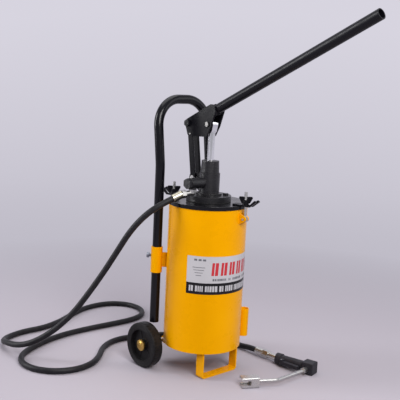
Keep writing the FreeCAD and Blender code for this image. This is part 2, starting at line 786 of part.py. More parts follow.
def make_barrel():
    top = flange_low + barrel_seat
    save("pump_tube", [ring(barrel_low, top, barrel_r, barrel_r - barrel_wall)])
    low = barrel_low - (valve_body_height - valve_overlap)
    body = ring(low, barrel_low + valve_overlap, valve_body_r, barrel_r)
    floor = cylinder(Vector(0, 0, low), Vector(0, 0, barrel_low), valve_body_r)
    port = cylinder(Vector(0, 0, low - 1), Vector(0, 0, barrel_low + 1), valve_port_r)
    seat = Part.makeCone(valve_port_r, valve_port_r + valve_seat_depth, valve_seat_depth,
                         Vector(0, 0, barrel_low - valve_seat_depth), up)
    save("foot_valve", [body.fuse(floor).cut(port).cut(seat).removeSplitter()])
    contact_z = barrel_low - valve_seat_depth + (ball_r * math.sqrt(0.5) - valve_port_r)
    ball_z = contact_z + ball_r * math.sqrt(0.5) + ball_gap * math.sqrt(2)
    save("foot_valve_ball", [Part.makeSphere(ball_r, Vector(0, 0, ball_z))])
    strainer = ring(low - strainer_height, low, strainer_r, strainer_r - strainer_wall)
    slots = []
    for i in range(strainer_slots):
        slot = block(Vector(strainer_r - strainer_slot, -strainer_slot / 2, low - strainer_height - 1),
                     Vector(strainer_r + 1, strainer_slot / 2, low - strainer_hoop))
        slots.append(turned(slot, 360 * i / strainer_slots))
    save("strainer", [strainer.cut(Part.makeCompound(slots))])


def make_rod():
    eye_z = rod_pin[1]
    piston_top = eye_z - piston_drop
    eye = side_plate([(0, eye_z, rod_eye_r), (0, eye_z - rod_eye_r - 2, rod_r)], 0, 2 * rod_r)
    rod = cylinder(Vector(0, 0, piston_top), Vector(0, 0, eye_z - rod_eye_r + 2), rod_r)
    hole = side_pin(rod_pin, 30, link_pin_r + pin_gap)
    save("piston_rod", [rod.fuse(eye).cut(hole)])
    bore = barrel_r - barrel_wall
    piston = cylinder(Vector(0, 0, piston_top - piston_height), Vector(0, 0, piston_top), bore - piston_land)
    for i in range(piston_ports):
        port = cylinder(Vector(bore - port_inset, 0, piston_top - piston_height - 1),
                        Vector(bore - port_inset, 0, piston_top + 1), piston_port_r)
        piston = piston.cut(turned(port, 360 * i / piston_ports))
    grooves = []
    cups = []
    for low in cup_lows:
        base = piston_top - piston_height + low
        grooves.append(ring(base, base + cup_height, bore, bore - cup_thick))
        cups.append(ring(base, base + cup_height, bore - piston_gap, bore - cup_thick))
    save("piston", [cut_each(piston, grooves)])
    save("piston_cups", cups)


def make_delivery():
    seat_x = arm_seat + math.sqrt(check_ball_r ** 2 - arm_seat_r ** 2) + ball_gap
    save("check_ball", [Part.makeSphere(check_ball_r, Vector(-seat_x, 0, arm_z))])
    thread_start = arm_end - plug_thread
    spring_start = seat_x + check_ball_r + ball_gap
    save("check_spring", [spring(Vector(-spring_start, 0, arm_z), thread_start - spring_start - ball_gap)])
    plug = cylinder(Vector(-thread_start, 0, arm_z), Vector(-arm_end, 0, arm_z), arm_bore_r)
    head = hex_bar(Vector(-arm_end, 0, arm_z), Vector(-arm_end - plug_head, 0, arm_z), plug_af)
    save("valve_plug", [plug.fuse(head)])
    corner = Vector(-outlet_x, 0, arm_z - elbow_drop)
    hose_start = Vector(*hose_route[0])
    away = (Vector(*hose_route[1]) - hose_start).normalize()
    stem_top = Vector(-outlet_x, 0, arm_z - arm_bore_r - elbow_stem_end)
    bell_z = arm_z - arm_r - outlet_boss
    bell = hex_bar(Vector(-outlet_x, 0, bell_z - elbow_hex), Vector(-outlet_x, 0, bell_z), elbow_nut_af)
    ferrule_start = hose_start - away * ferrule_length
    elbow = Part.makeSphere(elbow_ball_r, corner)
    elbow = elbow.fuse([cylinder(corner, stem_top, elbow_stem_r), bell,
                        cylinder(corner, ferrule_start, elbow_stem_r)])
    bore = cylinder(corner, ferrule_start + away, elbow_bore_r)
    riser = cylinder(corner - up * 2, stem_top + up, elbow_bore_r)
    nut_end = ferrule_start
    nut_start = nut_end - (ferrule_start - corner).normalize() * elbow_nut
    ferrule = cylinder(ferrule_start, hose_start, ferrule_r)
    nut = hex_bar(nut_start, nut_end, elbow_nut_af).cut(cylinder(corner, nut_end, elbow_stem_r))
    save("outlet_elbow", [elbow.cut(bore).cut(riser).cut(ferrule)])
    save("elbow_nut", [nut.cut(ferrule)])
    save("hose_ferrule", [ferrule])


def spring(start, length):
    rise = length - 2 * spring_wire_r
    helix = Part.makeHelix(rise / spring_coils, rise, spring_r)
    section = Part.Wire([Part.Circle(Vector(spring_r, 0, 0), Vector(0, 1, 0), spring_wire_r).toShape()])
    coil = Part.Wire(helix).makePipeShell([section], True, True)
    coil.Placement = FreeCAD.Placement(start - across * spring_wire_r, FreeCAD.Rotation(up, -across))
    return coil


def make_lever():
    direction = Vector(0, -math.cos(math.radians(lever_angle)), math.sin(math.radians(lever_angle)))
    root = side_point(lever_root)
    open_end = root + direction * lever_length
    inserted = root - direction * lever_insert
    save("lever_tube", [tube(inserted, open_end, lever_tube_r, lever_tube_r - lever_wall)])
    back = root - direction * socket_back
    front = root + direction * socket_front
    high = root + direction * cheek_high
    cheeks = []
    for side in (-1, 1):
        cheeks.append(side_plate([(*link_top, cheek_rear_r), (*cheek_low_rear, cheek_low_r),
                                  (*cheek_low_front, cheek_low_r), (*rod_pin, cheek_rod_r),
                                  (-high.y, high.z, socket_r)],
                                 side * (cheek_inner + cheek_thick / 2), cheek_thick))
    socket = cylinder(back, front, socket_r)
    web_r = socket_r - web_inset
    web = side_plate([(-back.y, back.z, web_r), (-high.y, high.z, web_r)], 0, 2 * cheek_inner)
    head = cheeks[0].fuse([cheeks[1], socket, web])
    head = head.cut(cylinder(inserted, root + direction * socket_r, lever_tube_r))
    for place in (rod_pin, link_top):
        head = head.cut(side_pin(place, cheek_outer + 1, link_pin_r + head_pin_gap))
    save("lever_head", [head.removeSplitter()])
    spacers = []
    for side in (-1, 1):
        spacers.append(tube(side_point(rod_pin, side * (rod_r + spacer_gap)),
                            side_point(rod_pin, side * cheek_inner),
                            link_pin_r + spacer_wall, link_pin_r))
    pin = side_pin(rod_pin, cheek_outer + pin_end, link_pin_r)
    head_x = cheek_outer
    button = cylinder(side_point(rod_pin, -head_x), side_point(rod_pin, -head_x - pin_head), pin_head_r)
    save("rod_pin", [pin.fuse(button)] + spacers)
    pivot = cylinder(side_point(link_top, -head_x), side_point(link_top, head_x + bolt_end_out), link_pin_r)
    bolt_head = hex_bar(side_point(link_top, -head_x), side_point(link_top, -head_x - bolt_head_high),
                        bolt_head_af)
    nut = hex_bar(side_point(link_top, head_x), side_point(link_top, head_x + bolt_head_high),
                  bolt_head_af)
    save("link_top_bolt", [pivot.fuse(bolt_head), nut.cut(pivot)])


def make_links():
    plates = []
    for side in (-1, 1):
        plate = side_plate([(*link_top, link_end_r), (*link_foot, link_end_r)],
                           side * link_centre_x, link_thick)
        plate = plate.cut(side_pin(link_top, 40, link_pin_r + pin_gap))
        plates.append(plate.cut(side_pin(link_foot, 40, link_pin_r)))
    save("link_plates", plates)
    outer = link_centre_x + link_thick / 2
    pin = side_pin(link_foot, outer + foot_pin_head / 2, link_pin_r)
    heads = [cylinder(side_point(link_foot, side * outer),
                      side_point(link_foot, side * (outer + foot_pin_head)), foot_pin_head_r)
             for side in (-1, 1)]
    save("link_foot_pin", [pin.fuse(heads)])


def make_hose():
    points = [Vector(*place) for place in hose_route]
    edges = []
    before = points[0]
    for i in range(1, len(points) - 1):
        into = points[i] - points[i - 1]
        out = points[i + 1] - points[i]
        turn = into.getAngle(out)
        setback = bend_share * min(into.Length, out.Length)
        radius = setback / math.tan(turn / 2)
        into.normalize()
        out.normalize()
        arc_start = points[i] - into * setback
        arc_end = points[i] + out * setback
        bisector = (out - into).normalize()
        middle = points[i] + bisector * (radius / math.cos(turn / 2) - radius)
        edges.append(Part.LineSegment(before, arc_start).toShape())
        edges.append(Part.Arc(arc_start, middle, arc_end).toShape())
        before = arc_end
    edges.append(Part.LineSegment(before, points[-1]).toShape())
    path = Part.Wire(edges)
    length = path.Length
    hose = pipe_along(path, points[0], points[1] - points[0], hose_r)
    print("hose length", round(length, 1), "volume share",
          round(hose.Volume / (math.pi * hose_r ** 2 * length), 5))
    save("hose", [hose])


def make_gun():
    hose_end = Vector(*hose_route[-1])
    away = (hose_end - Vector(*hose_route[-2])).normalize()
    ferrule_end = hose_end + away * ferrule_length
    ferrule = cylinder(hose_end, ferrule_end, ferrule_r)
    save("gun_ferrule", [ferrule])
    start = Vector(gun_start[0], gun_start[1], gun_z)
    end = Vector(gun_end[0], gun_end[1], gun_z)
    along = (end - start).normalize()
    joint = ferrule_end + (start - ferrule_end) * swivel_nut_share
    nut = hex_bar(ferrule_end, joint, swivel_af).cut(ferrule)
    save("swivel_nut", [nut])
    ball = Part.makeSphere(swivel_r, joint)
    block_start = end - along * gun_block_length
    butt_end = start + along * gun_butt_length
    body = cylinder(start, butt_end, gun_butt_r)
    body = body.fuse(cylinder(butt_end, block_start + along * gun_block_round, gun_r))
    head = Part.makeBox(gun_block_width, gun_block_length, gun_block_width,
                        Vector(-gun_block_width / 2, 0, -gun_block_width / 2))
    head = head.makeFillet(gun_block_round, head.Edges)
    heading = math.degrees(math.atan2(-along.x, along.y))
    head = placed(head, block_start, heading)
    pivot = Vector(trigger_pivot_out, trigger_pivot_along, 0)
    inner = trigger_thick / 2 + trigger_side_gap
    outer = inner + trigger_ear
    ear_face = belt([(pivot.x, pivot.y, trigger_boss_r), (0, pivot.y + trigger_ear_foot, trigger_ear_foot_r),
                     (0, pivot.y - trigger_ear_foot, trigger_ear_foot_r)])
    ears = []
    for low in (inner, -outer):
        ear = ear_face.extrude(Vector(0, 0, trigger_ear))
        ear.translate(up * low)
        ears.append(placed(ear, start, heading))
    hole = placed(cylinder(pivot - up * outer, pivot + up * outer, trigger_pin_r), start, heading)
    gun = body.fuse([head] + ears).cut(hole)
    save("gun_body", [gun])
    save("gun_swivel", [cylinder(joint, start, swivel_r).fuse(ball).cut(nut).cut(gun)])
    save("trigger_pin", [hole])
    swing = math.radians(trigger_angle)
    tip_r = trigger_depth / 2
    reach = trigger_length - tip_r - trigger_boss_r
    tip = Vector(pivot.x + reach * math.sin(swing), pivot.y + reach * math.cos(swing), 0)
    lever = belt([(pivot.x, pivot.y, trigger_boss_r), (tip.x, tip.y, tip_r)])
    lever = lever.extrude(Vector(0, 0, trigger_thick))
    lever.translate(up * (-trigger_thick / 2))
    bore = cylinder(pivot - up * outer, pivot + up * outer, trigger_pin_r + pin_gap)
    save("trigger", [placed(lever.cut(bore), start, heading)])
    return gun, end - along * (gun_block_length / 2)


def placed(shape, place, heading):
    """The shape turned from +Y to a heading about +Z, and carried to its place."""
    copy = shape.copy()
    copy.Placement = FreeCAD.Placement(place, FreeCAD.Rotation(up, heading)) * copy.Placement
    return copy


def make_nozzle(gun, pipe_from):
    bend = Vector(*pipe_bend, pipe_z)
    knee = Vector(*pipe_end, pipe_z)
    first = bend - Vector(pipe_from.x, pipe_from.y, pipe_z)
    first.normalize()
    start = Vector(pipe_from.x, pipe_from.y, pipe_z) + first * (gun_block_width / 2 - 1)
    nut_end = start + first * pipe_nut
    save("pipe_nut", [hex_bar(start, nut_end, pipe_nut_af).cut(gun)])
    second = (knee - bend).normalize()
    turn = first.getAngle(second)
    setback = pipe_bend_r * math.tan(turn / 2)
    bisector = (second - first).normalize()
    middle = bend + bisector * (pipe_bend_r / math.cos(turn / 2) - pipe_bend_r)
    path = Part.Wire([Part.LineSegment(nut_end, bend - first * setback).toShape(),
                      Part.Arc(bend - first * setback, middle, bend + second * setback).toShape(),
                      Part.LineSegment(bend + second * setback, knee).toShape()])
    save("extension_pipe", [pipe_along(path, nut_end, first, pipe_r)])
    half = coupler_width / 2
    body = Part.makeBox(coupler_length, coupler_width, coupler_width, Vector(0, -half, -half))
    body = body.makeFillet(coupler_round,
                           [edge for edge in body.Edges if abs(edge.Length - coupler_length) < 0.1])
    bore = Part.makeCylinder(coupler_mouth_r, coupler_mouth + 2, Vector(coupler_length - coupler_mouth, 0, 0),
                             across)
    slot = Part.makeBox(coupler_slot, coupler_width + 2, coupler_slot_width,
                        Vector(coupler_length - coupler_slot, -half - 1, -coupler_slot_width / 2))
    body = body.cut(bore).cut(slot)
    body.Placement = FreeCAD.Placement(knee, FreeCAD.Rotation(second, up.cross(second), up, "XYZ"))
    save("coupler", [body])


os.makedirs("parts", exist_ok=True)
make_drum()
make_foot()
make_axle()
make_handle()
make_holder()
make_lid()
make_clamps()
make_head()
make_barrel()
make_rod()
make_delivery()
make_lever()
make_links()
make_hose()
make_nozzle(*make_gun())
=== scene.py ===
import json
import math
import random

import bmesh
import bpy
from mathutils import Matrix, Vector


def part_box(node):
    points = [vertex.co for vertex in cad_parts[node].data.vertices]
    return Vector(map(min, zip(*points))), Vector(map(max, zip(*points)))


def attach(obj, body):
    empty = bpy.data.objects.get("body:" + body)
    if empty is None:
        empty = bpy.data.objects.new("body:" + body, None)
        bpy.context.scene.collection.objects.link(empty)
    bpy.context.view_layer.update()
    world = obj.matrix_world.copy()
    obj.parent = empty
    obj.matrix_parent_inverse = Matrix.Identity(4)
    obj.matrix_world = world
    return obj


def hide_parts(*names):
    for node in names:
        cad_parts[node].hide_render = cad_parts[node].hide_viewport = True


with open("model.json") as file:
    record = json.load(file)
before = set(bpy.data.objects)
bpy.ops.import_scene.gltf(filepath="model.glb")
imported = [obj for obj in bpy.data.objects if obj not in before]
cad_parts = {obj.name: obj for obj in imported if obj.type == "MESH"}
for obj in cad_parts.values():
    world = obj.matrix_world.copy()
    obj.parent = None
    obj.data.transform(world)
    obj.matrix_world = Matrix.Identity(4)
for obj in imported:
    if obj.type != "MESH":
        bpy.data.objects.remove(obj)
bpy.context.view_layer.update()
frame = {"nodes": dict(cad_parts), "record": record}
nodes = frame["nodes"]
mm = 0.001
drumAxisY = 63 * mm  # the drum stands this far behind the foot strap
print("frame loaded:", len(nodes), "nodes")

# camera, above the lid's height and off to the near wheel's side
cameraSet = {
    "place": (-1.3594, -1.3632, 0.7780),
    "lookAt": (-0.0162, 0.0785, 0.4578),
    "lens": 68.17,
    "sensor": 36,
    "sight": 50,
    "rollDegrees": 2.79,
}


def makeCamera():
    data = bpy.data.cameras.new("camera")
    data.lens = cameraSet["lens"]
    data.sensor_width = cameraSet["sensor"]
    data.clip_end = cameraSet["sight"]
    camera = bpy.data.objects.new("camera", data)
    bpy.context.scene.collection.objects.link(camera)
    place = Vector(cameraSet["place"])
    aim = (Vector(cameraSet["lookAt"]) - place).to_track_quat("-Z", "Y").to_matrix()
    roll = Matrix.Rotation(math.radians(cameraSet["rollDegrees"]), 3, "Z")
    camera.matrix_world = Matrix.Translation(place) @ (aim @ roll).to_4x4()
    bpy.context.scene.camera = camera


# delivery hose, lying in two long loops on the floor; points are mm about the drum's axis
hoseSet = {
    "radius": 8 * mm, "length": 2.8813, "exit": (-110, 17, 468), "lineSteps": 10, "ringSteps": 6,
}
onFloor = 8.3  # height of the hose's middle where it lies on the floor
hoseRoute = [
    (-110, 17, 468), (-142, 29, 452), (-171, 52, 424), (-190, 86, 379), (-202, 122, 320),
    (-220, 156, 257), (-246, 183, 199), (-270, 208, 149), (-297, 236, 106), (-326, 266, 72),
    (-352, 300, 47), (-370, 343, 33), (-373, 392, 28), (-356, 441, 15), (-316, 478, onFloor),
    (-262, 491, onFloor), (-200, 487, onFloor), (-132, 506, onFloor), (-62, 545, onFloor),
    (2, 577, onFloor), (66, 586.8, onFloor), (122, 575, onFloor), (160, 532, onFloor),
    (165, 474, onFloor), (136, 424, onFloor), (84, 400, onFloor), (14, 399, onFloor),
    (-66, 404, onFloor), (-140, 405, onFloor), (-205, 398, onFloor), (-275, 377, onFloor),
    (-352, 338, onFloor), (-387.9, 286, onFloor), (-387.9, 226, onFloor), (-353, 176, onFloor),
    (-297, 154, onFloor), (-238, 165, onFloor), (-190, 203, onFloor), (-146, 251, onFloor),
    (-86, 280, onFloor), (-18, 272, onFloor), (54, 240, onFloor), (120, 197, onFloor),
    (168, 146, onFloor), (187, 82, onFloor), (184, 26, 10), (182, -10, 16.8), (183, -39, 16.8),
]


def fromDrum(x, y, z):
    return Vector((x * mm, y * mm + drumAxisY, z * mm))


def makeHose():
    curve = bpy.data.curves.new("hose_line", "CURVE")
    curve.dimensions = "3D"
    spline = curve.splines.new("NURBS")
    spline.points.add(len(hoseRoute) - 1)
    for point, place in zip(spline.points, hoseRoute):
        point.co = (*fromDrum(*place), 1)
        point.radius = hoseSet["radius"]
    spline.order_u = 3
    spline.use_endpoint_u = True
    spline.resolution_u = hoseSet["lineSteps"]
    curve.bevel_depth = 1  # times each point's radius
    curve.bevel_resolution = hoseSet["ringSteps"]
    curve.use_fill_caps = True
    hose = bpy.data.objects.new("delivery_hose", curve)
    bpy.context.scene.collection.objects.link(hose)
    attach(hose, "base")
    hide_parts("hose")
    return hose


makeCamera()
hose = makeHose()
print("camera and hose made")


# small tools for node materials
def startMaterial(name):
    material = bpy.data.materials.new(name)
    material.use_nodes = True
    tree = material.node_tree
    shader = tree.nodes["Principled BSDF"]
    return material, tree, shader


def addNode(tree, kind, **settings):
    node = tree.nodes.new(kind)
    for key, value in settings.items():
        if key in node.inputs:
            node.inputs[key].default_value = value
        else:
            setattr(node, key, value)
    return node


def addNoise(tree, scale, detail=4.0, rough=0.5, stretch=(1, 1, 1)):
    place = tree.nodes.new("ShaderNodeTexCoord")
    mapping = addNode(tree, "ShaderNodeMapping", Scale=stretch)
    tree.links.new(place.outputs["Object"], mapping.inputs["Vector"])
    noise = addNode(tree, "ShaderNodeTexNoise", Scale=scale, Detail=detail, Roughness=rough)
    tree.links.new(mapping.outputs["Vector"], noise.inputs["Vector"])
    return noise.outputs["Fac"]


def addRange(tree, source, low, high, fromLow=0.3, fromHigh=0.7):
    span = addNode(tree, "ShaderNodeMapRange")
    tree.links.new(source, span.inputs["Value"])
    span.inputs["From Min"].default_value = fromLow
    span.inputs["From Max"].default_value = fromHigh
    span.inputs["To Min"].default_value = low
    span.inputs["To Max"].default_value = high
    return span.outputs["Result"]


def mixColours(tree, share, first, second):
    mix = tree.nodes.new("ShaderNodeMix")
    mix.data_type = "RGBA"
    tree.links.new(share, mix.inputs[0])
    for socket, colour in ((mix.inputs[6], first), (mix.inputs[7], second)):
        if isinstance(colour, tuple):
            socket.default_value = (*colour, 1)
        else:
            tree.links.new(colour, socket)
    return mix.outputs[2]


def addBump(tree, shader, height, distance, strength=1.0, before=None):
    bump = addNode(tree, "ShaderNodeBump", Distance=distance, Strength=strength)
    tree.links.new(height, bump.inputs["Height"])
    if before is not None:
        tree.links.new(before, bump.inputs["Normal"])
    tree.links.new(bump.outputs["Normal"], shader.inputs["Normal"])
    return bump.outputs["Normal"]


# how coats wear at edges: where the rounded normal leaves the flat one, and in which patches
wearSet = {
    "samples": 4, "edge": (0.90, 0.985), "patch": (0.48, 0.62), "paintPatch": 180.0, "castPatch": 300.0,
}


def edgeWear(tree, radius, patchScale):
    bevel = addNode(tree, "ShaderNodeBevel", samples=wearSet["samples"], Radius=radius)
    flat = tree.nodes.new("ShaderNodeNewGeometry")
    dot = addNode(tree, "ShaderNodeVectorMath", operation="DOT_PRODUCT")
    tree.links.new(bevel.outputs["Normal"], dot.inputs[0])
    tree.links.new(flat.outputs["True Normal"], dot.inputs[1])
    edge = addRange(tree, dot.outputs["Value"], 1.0, 0.0, *wearSet["edge"])
    patches = addNoise(tree, patchScale, detail=5.0, rough=0.65)
    patches = addRange(tree, patches, 0.0, 1.0, *wearSet["patch"])
    both = addNode(tree, "ShaderNodeMath", operation="MULTIPLY")
    tree.links.new(edge, both.inputs[0])
    tree.links.new(patches, both.inputs[1])
    return both.outputs["Value"]


def enamel(name, look):
    material, tree, shader = startMaterial(name)
    cloud = addRange(tree, addNoise(tree, look["cloudScale"], detail=3.0), 0.0, 1.0)
    colour = mixColours(tree, cloud, look["colour"], look["shade"])
    worn = edgeWear(tree, look["edgeRadius"], wearSet["paintPatch"])
    colour = mixColours(tree, worn, colour, look["bare"])
    tree.links.new(colour, shader.inputs["Base Color"])
    smudge = addNoise(tree, look["smudgeScale"], detail=6.0, rough=0.6)
    tree.links.new(addRange(tree, smudge, *look["roughness"]), shader.inputs["Roughness"])
    shader.inputs["Specular IOR Level"].default_value = look["shine"]
    shader.inputs["Specular Tint"].default_value = (*look["shineTint"], 1)
    shader.inputs["Coat Weight"].default_value = look["coat"]
    shader.inputs["Coat Roughness"].default_value = look["coatRoughness"]
    peel = addNoise(tree, look["peelScale"], detail=2.0)
    addBump(tree, shader, peel, look["peelDepth"], strength=0.5)
    return material


def metal(name, look):
    material, tree, shader = startMaterial(name)
    cloud = addRange(tree, addNoise(tree, look["cloudScale"], detail=5.0, rough=0.6), 0.0, 1.0)
    tree.links.new(mixColours(tree, cloud, look["colour"], look["shade"]), shader.inputs["Base Color"])
    shader.inputs["Metallic"].default_value = 1.0
    brush = addNoise(tree, look["brushScale"], detail=6.0, rough=0.7, stretch=look["brushStretch"])
    tree.links.new(addRange(tree, brush, *look["roughness"]), shader.inputs["Roughness"])
    addBump(tree, shader, brush, look["brushDepth"], strength=0.4)
    return material


def castCoat(name, look):
    material, tree, shader = startMaterial(name)
    grain = addNoise(tree, look["grainScale"], detail=8.0, rough=0.65)
    cloud = addRange(tree, addNoise(tree, look["cloudScale"], detail=4.0), 0.0, 1.0)
    colour = mixColours(tree, cloud, look["colour"], look["shade"])
    worn = edgeWear(tree, look["edgeRadius"], wearSet["castPatch"])
    tree.links.new(mixColours(tree, worn, colour, look["bare"]), shader.inputs["Base Color"])
    tree.links.new(addRange(tree, grain, *look["roughness"]), shader.inputs["Roughness"])
    shader.inputs["Specular IOR Level"].default_value = look["specular"]
    dents = addNoise(tree, look["dentScale"], detail=3.0)
    dented = addBump(tree, shader, dents, look["dentDepth"], strength=0.6)
    addBump(tree, shader, grain, look["grainDepth"], strength=0.7, before=dented)
    return material


def rubber(name, look):
    material, tree, shader = startMaterial(name)
    dust = addNoise(tree, look["dustScale"], detail=6.0, rough=0.7)
    dust = addRange(tree, dust, 0.0, 1.0, fromLow=0.45, fromHigh=0.75)
    tree.links.new(mixColours(tree, dust, look["colour"], look["dust"]), shader.inputs["Base Color"])
    fine = addNoise(tree, look["fineScale"], detail=6.0, rough=0.7)
    tree.links.new(addRange(tree, fine, *look["roughness"]), shader.inputs["Roughness"])
    shader.inputs["Specular IOR Level"].default_value = look["shine"]
    addBump(tree, shader, fine, look["fineDepth"], strength=0.6)
    return material


yellowLook = {
    "colour": (0.94, 0.415, 0.0), "shade": (0.88, 0.375, 0.0), "bare": (0.62, 0.27, 0.01),
    "cloudScale": 9.0, "smudgeScale": 22.0, "peelScale": 520.0, "peelDepth": 0.00012,
    "roughness": (0.22, 0.38), "shine": 0.42, "shineTint": (1.0, 0.60, 0.02),
    "coat": 0.02, "coatRoughness": 0.10, "edgeRadius": 0.0008,
}
blackLook = {
    "colour": (0.0026, 0.0023, 0.0042), "shade": (0.0048, 0.0045, 0.0070), "bare": (0.06, 0.058, 0.06),
    "cloudScale": 18.0, "smudgeScale": 35.0, "peelScale": 700.0, "peelDepth": 0.00010,
    "roughness": (0.24, 0.42), "shine": 0.13, "shineTint": (1, 1, 1),
    "coat": 0.0, "coatRoughness": 0.2, "edgeRadius": 0.0006,
}
handleLook = {**blackLook, "roughness": (0.12, 0.26), "shine": 0.26, "peelDepth": 0.00006}
castLook = {
    "colour": (0.0045, 0.0042, 0.0055), "shade": (0.011, 0.0105, 0.013), "bare": (0.12, 0.115, 0.11),
    "cloudScale": 40.0, "grainScale": 520.0, "grainDepth": 0.0008, "dentScale": 110.0,
    "dentDepth": 0.0013, "roughness": (0.18, 0.46), "specular": 0.46, "edgeRadius": 0.0009,
}
gunLook = {
    "colour": (0.012, 0.011, 0.016), "shade": (0.020, 0.019, 0.025), "bare": (0.09, 0.09, 0.09),
    "cloudScale": 40.0, "grainScale": 1300.0, "grainDepth": 0.00012, "dentScale": 260.0,
    "dentDepth": 0.0002, "roughness": (0.40, 0.62), "specular": 0.32, "edgeRadius": 0.0008,
}
zincLook = {
    "colour": (0.62, 0.61, 0.58), "shade": (0.50, 0.50, 0.50), "cloudScale": 90.0,
    "brushScale": 260.0, "brushStretch": (1, 1, 6), "brushDepth": 0.00006, "roughness": (0.20, 0.42),
}
chromeLook = {
    "colour": (0.88, 0.88, 0.90), "shade": (0.80, 0.80, 0.83), "cloudScale": 60.0,
    "brushScale": 500.0, "brushStretch": (1, 1, 0.1), "brushDepth": 0.00002, "roughness": (0.06, 0.16),
}
steelLook = {
    "colour": (0.46, 0.45, 0.44), "shade": (0.36, 0.35, 0.34), "cloudScale": 50.0,
    "brushScale": 300.0, "brushStretch": (1, 1, 8), "brushDepth": 0.00008, "roughness": (0.28, 0.50),
}
yellowZincLook = {
    "colour": (0.66, 0.42, 0.10), "shade": (0.48, 0.30, 0.09), "cloudScale": 160.0,
    "brushScale": 320.0, "brushStretch": (3, 1, 1), "brushDepth": 0.00006, "roughness": (0.24, 0.46),
}
dullZincLook = {**zincLook, "colour": (0.50, 0.47, 0.36), "shade": (0.38, 0.36, 0.29)}
blueZincLook = {**zincLook, "colour": (0.24, 0.25, 0.29), "shade": (0.15, 0.16, 0.19)}
brassLook = {
    "colour": (0.60, 0.42, 0.15), "shade": (0.48, 0.32, 0.11), "cloudScale": 70.0,
    "brushScale": 420.0, "brushStretch": (1, 1, 9), "brushDepth": 0.00006, "roughness": (0.2, 0.4),
}
sealLook = {
    "shine": 0.3, "colour": (0.012, 0.012, 0.012), "dust": (0.03, 0.03, 0.03), "dustScale": 60.0,
    "fineScale": 900.0, "fineDepth": 0.0001, "roughness": (0.5, 0.7),
}
wheelLook = {
    "shine": 0.2, "colour": (0.006, 0.0055, 0.006), "dust": (0.014, 0.013, 0.014), "dustScale": 45.0,
    "fineScale": 1100.0, "fineDepth": 0.00008, "roughness": (0.36, 0.55),
}
tyreLook = {
    "shine": 0.22, "colour": (0.006, 0.0055, 0.006), "dust": (0.018, 0.0165, 0.017), "dustScale": 55.0,
    "fineScale": 800.0, "fineDepth": 0.00015, "roughness": (0.34, 0.6),
    "ringPitch": 0.0022, "ringDepth": 0.0004, "axleY": 90.0, "axleZ": 60.6,
}
hoseLook = {
    "shine": 0.26, "colour": (0.008, 0.0075, 0.0095), "dust": (0.020, 0.019, 0.022), "dustScale": 70.0,
    "fineScale": 700.0, "fineDepth": 0.0004, "roughness": (0.36, 0.6),
}


def tyreRubber():
    material = rubber("tyre_rubber", tyreLook)
    tree = material.node_tree
    shader = tree.nodes["Principled BSDF"]
    before = shader.inputs["Normal"].links[0].from_socket
    place = tree.nodes.new("ShaderNodeTexCoord")
    split = tree.nodes.new("ShaderNodeSeparateXYZ")
    tree.links.new(place.outputs["Object"], split.inputs["Vector"])
    # distance from the axle, for the sidewall's moulded rings
    axleY = addNode(tree, "ShaderNodeMath", operation="SUBTRACT")
    tree.links.new(split.outputs["Y"], axleY.inputs[0])
    axleY.inputs[1].default_value = drumAxisY + tyreLook["axleY"] * mm
    axleZ = addNode(tree, "ShaderNodeMath", operation="SUBTRACT")
    tree.links.new(split.outputs["Z"], axleZ.inputs[0])
    axleZ.inputs[1].default_value = tyreLook["axleZ"] * mm
    flat = tree.nodes.new("ShaderNodeCombineXYZ")
    tree.links.new(axleY.outputs["Value"], flat.inputs["Y"])
    tree.links.new(axleZ.outputs["Value"], flat.inputs["Z"])
    reach = addNode(tree, "ShaderNodeVectorMath", operation="LENGTH")
    tree.links.new(flat.outputs["Vector"], reach.inputs[0])
    turns = addNode(tree, "ShaderNodeMath", operation="MULTIPLY")
    tree.links.new(reach.outputs["Value"], turns.inputs[0])
    turns.inputs[1].default_value = 2 * math.pi / tyreLook["ringPitch"]
    wave = addNode(tree, "ShaderNodeMath", operation="SINE")
    tree.links.new(turns.outputs["Value"], wave.inputs[0])
    addBump(tree, shader, wave.outputs["Value"], tyreLook["ringDepth"], strength=0.5, before=before)
    return material


# the film and inks of the label, whose shine has no tint
printLook = {**yellowLook, "shineTint": (1, 1, 1), "shine": 0.3, "peelDepth": 0.00002}
looks = {
    "yellow_paint": enamel("yellow_enamel", yellowLook),
    "black_paint": enamel("black_enamel", blackLook),
    "black_casting": castCoat("black_cast_coat", castLook),
    "black_gun": castCoat("gun_coat", gunLook),
    "label_film": enamel("label_film", {
        **printLook, "colour": (0.575, 0.56, 0.585), "shade": (0.52, 0.51, 0.54),
        "bare": (0.6, 0.58, 0.58), "peelDepth": 0.00003, "coat": 0.1}),
    "hose_rubber": rubber("hose_rubber", hoseLook),
    "seal_rubber": rubber("seal_rubber", sealLook),
    "tyre_rubber": tyreRubber(),
    "wheel_plastic": rubber("wheel_plastic", wheelLook),
    "brassy_zinc": metal("yellow_zinc", yellowZincLook),
    "chromed_steel": metal("hard_chrome", chromeLook),
    "plain_steel": metal("turned_steel", steelLook),
    "zinc_plate": metal("zinc_plate", zincLook),
    "brass_metal": metal("machined_brass", brassLook),
}
# pieces with a finish of their own; the lever's and the rod pin's are copies with painted light and shade
ownLook = {
    "lid": enamel("glossy_lid_enamel", {**handleLook, "colour": (0.0018, 0.0017, 0.0026)}),
    "trolley_handle": enamel("glossy_handle_enamel", handleLook),
    # the lever's enamel is a lighter, bluer copy of the black enamel: painted sheen for its bluish
    # highlights
    "lever_tube": enamel("lever_painted_sheen_enamel", {
        **blackLook, "colour": (0.0050, 0.0048, 0.0080), "shine": 0.2}),
    "link_top_bolt": enamel("painted_bolt_enamel", {**handleLook, "bare": (0.2, 0.19, 0.18)}),
    "hose_ferrule": metal("dull_zinc", dullZincLook),
    # the rod pin's zinc is a darker copy of the dull zinc: painted shade that dims its glint
    "rod_pin": metal("painted_shade_zinc", {
        **dullZincLook, "colour": (0.24, 0.235, 0.23), "shade": (0.14, 0.135, 0.13)}),
    "sleeve_screws": metal("blue_zinc", blueZincLook),
}
slotOf = {part["node"]: part["material_slot"] for part in frame["record"]["subparts"]}


